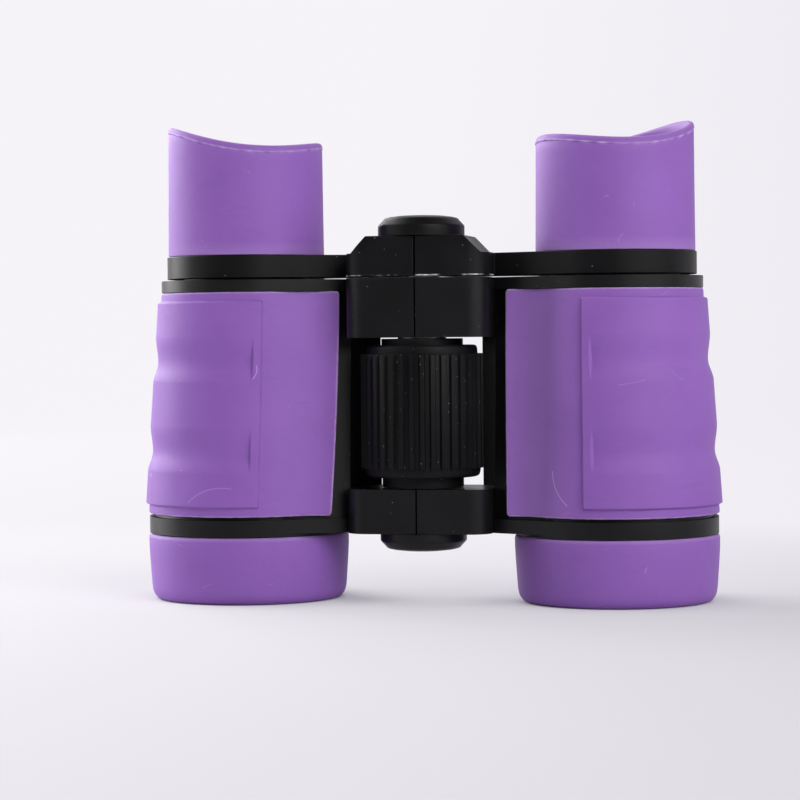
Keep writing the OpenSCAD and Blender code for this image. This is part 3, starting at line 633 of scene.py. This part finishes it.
# Ocular arms: black moulded plates with a sloping hub in the middle, one on each eyepiece tube.
# They swing on the focus screw and rise with it. Along the hub's lower edge a ragged pale line is painted: painted
# light showing along the seam.
# A cap with a stem closes the hub.
ARM_SEAM_LIGHT = 0.24 * MM
TOP_CAP_Z, TOP_SKIRT = 66.0, 0.44
arm_foot = min(corner[2] for corner in nodes["left_ocular_arm"].bound_box)
arm_plastic = black_plastic("arm_plastic", 0.34, 0.11, 0.012 * MM, 0.14, arm_foot + ARM_SEAM_LIGHT)
for side in ("left", "right"):
    moulded(f"{side}_ocular_arm", f"{side}_ocular_plate", f"{side}_ocular", "black_plastic", arm_plastic)
hinge_cap("hinge_cap_above", "left_ocular", arm_plastic, "top_cap", TOP_CAP_Z, 1, TOP_SKIRT)


# Eyepieces: black tubes that slide in the barrels, with a hollow clear lens held by a ring near the top.
dress(body_plastic, "left_eyepiece_tube", "right_eyepiece_tube", "left_eyepiece_retainer", "right_eyepiece_retainer")
dress(lens_glass, "left_eyepiece_lens", "right_eyepiece_lens")


# Eyecups: purple rubber sleeves pushed over the tubes, higher on one side to keep light out.
# The rim has a soft bevel, with the pale flash of the mould's parting line just below it,
# and both have been turned a little on their tubes.
CUP_STEPS = 192
CUP_EDGE_Z = 62.7
CUP_BEND, CUP_BEND_W = 72, 13
CUP_INSIDE = 13.5
RIM_LOW = 82.1
RIM_CUT_R = 40
RIM_SHIFT = 4
FLASH_Z = 80.85
FLASH_OUT = 0.004
LEFT_TURN, RIGHT_TURN = -15, 32
CUP_PROFILE = [
    (11.52, 62.6), (13.9, 62.52), (14.2, 62.6), (14.27, 62.85), (14.24, 65), (14.21, 68), (14.18, 71), (14.15, 74),
    (14.13, 77), (14.11, 79), (14.11, 80.45), (14.04, 80.63), (14.16, 80.78), (14.22, 80.86), (14.14, 80.98),
    (14.14, 81.2), (14.06, 81.5), (13.9, 81.8), (13.66, 82.0), (13.4, 82.1), (13.1, 82.08), (12.75, 81.95),
    (12.52, 81.7), (12.42, 81.3), (12.4, 79), (12.4, 76), (12.4, 72.1), (12.3, 72), (11.6, 72), (11.52, 71.9),
    (11.52, 67),
]


def eyecup(mirror, turn, seed):
    """An eyecup of the right half, or of the left where mirror is -1, turned on its tube."""
    bm = turned(CUP_PROFILE, CUP_STEPS)
    layer = bm.verts.layers.float.new("worn")
    for vert in bm.verts:
        x, y, z = vert.co
        flash_and_seam_light = near(z, FLASH_Z, FLASH_W) * (x * x + y * y > CUP_INSIDE ** 2)
        torn = noise.noise(Vector((math.atan2(y, x) * 9, seed, 0)))
        vert[layer] = flash_and_seam_light * max(0, 0.55 + 1.1 * torn)
        vert[layer] += 0.35 * near(z, RIM_LOW, 0.35) + 0.5 * near(z, CUP_EDGE_Z, 0.25)
        lift = RIM_CUT_R - math.sqrt(RIM_CUT_R ** 2 - (x + RIM_SHIFT) ** 2)
        vert.co.z += lift * rise(z - CUP_BEND, CUP_BEND_W)
        if flash_and_seam_light > 0.5:
            vert.co.x *= 1 + FLASH_OUT * max(0, torn)
            vert.co.y *= 1 + FLASH_OUT * max(0, torn)
    crease(bm, 55)
    bmesh.ops.rotate(bm, verts=bm.verts, cent=(0, 0, 0), matrix=Matrix.Rotation(math.radians(turn), 3, "Z"))
    if mirror < 0:
        bmesh.ops.scale(bm, verts=bm.verts, vec=(-1, 1, 1))
        bmesh.ops.recalc_face_normals(bm, faces=bm.faces)
    to_metres(bm, (mirror * BARREL_X, 0, 0))
    return bm


place(eyecup(-1, LEFT_TURN, 2.0), "left_rubber_eyecup", "left_ocular", "purple_rubber", rubber, "left_eyecup")
place(eyecup(1, RIGHT_TURN, 5.0), "right_rubber_eyecup", "right_ocular", "purple_rubber", rubber, "right_eyecup")


# Studio: a pale sweep of paper under and behind the binoculars, lit by soft boxes.
# It isn't part of the object.
FLOOR_HALF = 6
SWEEP_Y = 0.9
SWEEP_R = 0.7
SWEEP_STEPS = 12
WALL_TOP = 2.4
PAPER = (0.62, 0.6, 0.64, 1)
PAPER_FIBRE = (0.55, 0.53, 0.57, 1)
# Tones of the glow: painted light on the left, and a painted shadow and falloff towards the right.
FLOOR_LEFT, FLOOR_RIGHT = (0.955, 0.93, 0.975, 1), (0.685, 0.668, 0.722, 1)
WALL_LEFT, WALL_RIGHT = (0.945, 0.925, 0.968, 1), (0.835, 0.81, 0.868, 1)
FLOOR_SPAN, WALL_SPAN = 0.08, 0.3
FAR_FROM, FAR_TO = 0.03, 0.19
FLOOR_GLOW = 0.6
WALL_GLOW = 0.37
CONTACT = 14 * MM
AIR_TONE = (0.87, 0.85, 0.9, 1)
AIR_FILL = 0.02
AIM = Vector((0, 0, 0.043))
# Each soft box: bearing, elevation, distance, width, height, power.
SOFT_BOXES = {
    "left_low_box": (-100, 10, 0.8, 0.5, 0.7, 7.6),
    "left_back_box": (-130, 28, 0.8, 0.5, 0.6, 5.1),
    "left_high_box": (-95, 42, 0.8, 0.5, 0.6, 2.2),
    "left_front_box": (-62, 8, 0.9, 0.4, 0.5, 0.85),
    "front_box": (-45, 30, 0.9, 0.5, 0.7, 0.45),
    "front_low_box": (14, 8, 0.9, 0.5, 0.5, 0.2),
    "right_front_box": (45, 30, 0.9, 0.6, 0.7, 7.0),
    "right_low_box": (70, 10, 0.9, 0.4, 0.5, 1.05),
    "right_back_box": (105, 12, 0.8, 0.5, 0.7, 0.6),
    "back_top_box": (180, 60, 0.9, 1.0, 0.7, 1.5),
}


def paper():
    """Paper that is seen, straight or in a reflection, mostly by a glowing pale tone, painted lighter on the left and
    darker on the right as painted light and shadow, and less where it is covered.
    """
    finish = Finish("studio_paper", {"Roughness": 0.9, "Specular IOR Level": 0.1})
    fibre = finish.noise(finish.spots(), 900, 2.0)
    finish.finish(finish.mix(fibre * 0.06, PAPER, PAPER_FIBRE), 0.85 + fibre * 0.1, finish.bump(fibre, 0.01 * MM))
    seen = finish.add("ShaderNodeLightPath", {}, {}, "Is Camera Ray")
    for path in ("Is Glossy Ray", "Is Transmission Ray"):
        seen = seen + finish.add("ShaderNodeLightPath", {}, {}, path)
    across, back = (finish.add("ShaderNodeSeparateXYZ", {}, {0: finish.spots()}, axis) for axis in ("X", "Y"))
    far = finish.ramp(back, FAR_FROM, FAR_TO)
    floor = finish.mix(finish.ramp(across, -FLOOR_SPAN, FLOOR_SPAN), FLOOR_LEFT, FLOOR_RIGHT)
    wall = finish.mix(finish.ramp(across, -WALL_SPAN, WALL_SPAN), WALL_LEFT, WALL_RIGHT)
    glow = finish.add("ShaderNodeEmission", {}, {"Color": finish.mix(far, floor, wall), "Strength": 1.0})
    lit = Tone(finish, finish.shader.outputs[0])
    open_air = finish.add("ShaderNodeAmbientOcclusion", {"samples": 8}, {"Distance": CONTACT}, "AO")
    share = (seen > 0.5) * (far * WALL_GLOW + FLOOR_GLOW) * finish.ramp(open_air, 0.1, 0.85)
    both = finish.add("ShaderNodeMixShader", {}, {0: share, 1: lit, 2: glow})
    finish.feed(finish.tree.nodes["Material Output"].inputs["Surface"], both)
    return finish.material


bm = bmesh.new()
line = [bm.verts.new((-FLOOR_HALF, -FLOOR_HALF, 0)), bm.verts.new((-FLOOR_HALF, SWEEP_Y, 0))]
for step in range(1, SWEEP_STEPS + 1):
    bend = math.radians(90 * step / SWEEP_STEPS)
    line.append(bm.verts.new((-FLOOR_HALF, SWEEP_Y + SWEEP_R * math.sin(bend), SWEEP_R * (1 - math.cos(bend)))))
line.append(bm.verts.new((-FLOOR_HALF, SWEEP_Y + SWEEP_R, WALL_TOP)))
edges = [bm.edges.new(pair) for pair in zip(line, line[1:])]
made = bmesh.ops.extrude_edge_only(bm, edges=edges)["geom"]
bmesh.ops.translate(bm, verts=[item for item in made if isinstance(item, bmesh.types.BMVert)],
                    vec=(2 * FLOOR_HALF, 0, 0))
bmesh.ops.recalc_face_normals(bm, faces=bm.faces)
for face in bm.faces:
    face.smooth = True
sweep_mesh = bpy.data.meshes.new("studio_sweep")
bm.to_mesh(sweep_mesh)
bm.free()
sweep = bpy.data.objects.new("studio_sweep", sweep_mesh)
bpy.context.scene.collection.objects.link(sweep)
sweep_mesh.materials.append(paper())


def softbox(name, bearing, elevation, distance, width, height, power):
    """A soft box that looks at the object, at a bearing from the front, positive to the right."""
    turn, lift = math.radians(bearing), math.radians(elevation)
    away = Vector((math.sin(turn) * math.cos(lift), -math.cos(turn) * math.cos(lift), math.sin(lift)))
    lamp = bpy.data.lights.new(name, "AREA")
    lamp.shape = "RECTANGLE"
    lamp.size, lamp.size_y = width, height
    lamp.energy = power
    box = bpy.data.objects.new(name, lamp)
    box.location = AIM + away * distance
    box.rotation_euler = away.to_track_quat("Z", "Y").to_euler()
    bpy.context.scene.collection.objects.link(box)


for name, settings in SOFT_BOXES.items():
    softbox(name, *settings)

world = bpy.data.worlds.new("studio_air")
bpy.context.scene.world = world
world.use_nodes = True
air = world.node_tree
dim = air.nodes["Background"]
dim.inputs["Strength"].default_value = AIR_FILL
pale = air.nodes.new("ShaderNodeBackground")
pale.inputs["Color"].default_value = AIR_TONE
blend = air.nodes.new("ShaderNodeMixShader")
air.links.new(air.nodes.new("ShaderNodeLightPath").outputs["Is Camera Ray"], blend.inputs[0])
air.links.new(dim.outputs[0], blend.inputs[1])
air.links.new(pale.outputs[0], blend.inputs[2])
air.links.new(blend.outputs[0], air.nodes["World Output"].inputs["Surface"])


# Camera: a long lens a little above the middle of the object and 11 degrees to its right,
# tipped by half a degree as the photograph is.
LENS, SENSOR = 119.29, 36
NEAR_CLIP = 0.01
YAW, PITCH, ROLL = math.radians(10.99), math.radians(1.48), math.radians(-0.51)
DISTANCE = 0.48162
TARGET_Z = 0.03614
TARGET_SIDE = -0.00539
back = Vector((math.sin(YAW) * math.cos(PITCH), -math.cos(YAW) * math.cos(PITCH), math.sin(PITCH)))
right = Vector((0, 0, 1)).cross(back).normalized()
up = back.cross(right)
tipped_right = right * math.cos(ROLL) + up * math.sin(ROLL)
tipped_up = up * math.cos(ROLL) - right * math.sin(ROLL)
eye = Vector((0, 0, TARGET_Z)) + right * TARGET_SIDE + back * DISTANCE
camera_data = bpy.data.cameras.new("camera")
camera_data.sensor_width = SENSOR
camera_data.lens = LENS
camera_data.clip_start = NEAR_CLIP
camera = bpy.data.objects.new("camera", camera_data)
camera.matrix_world = Matrix.Translation(eye) @ Matrix((tipped_right, tipped_up, back)).transposed().to_4x4()
bpy.context.scene.collection.objects.link(camera)
bpy.context.scene.camera = camera
bpy.context.scene.view_settings.view_transform = "Standard"
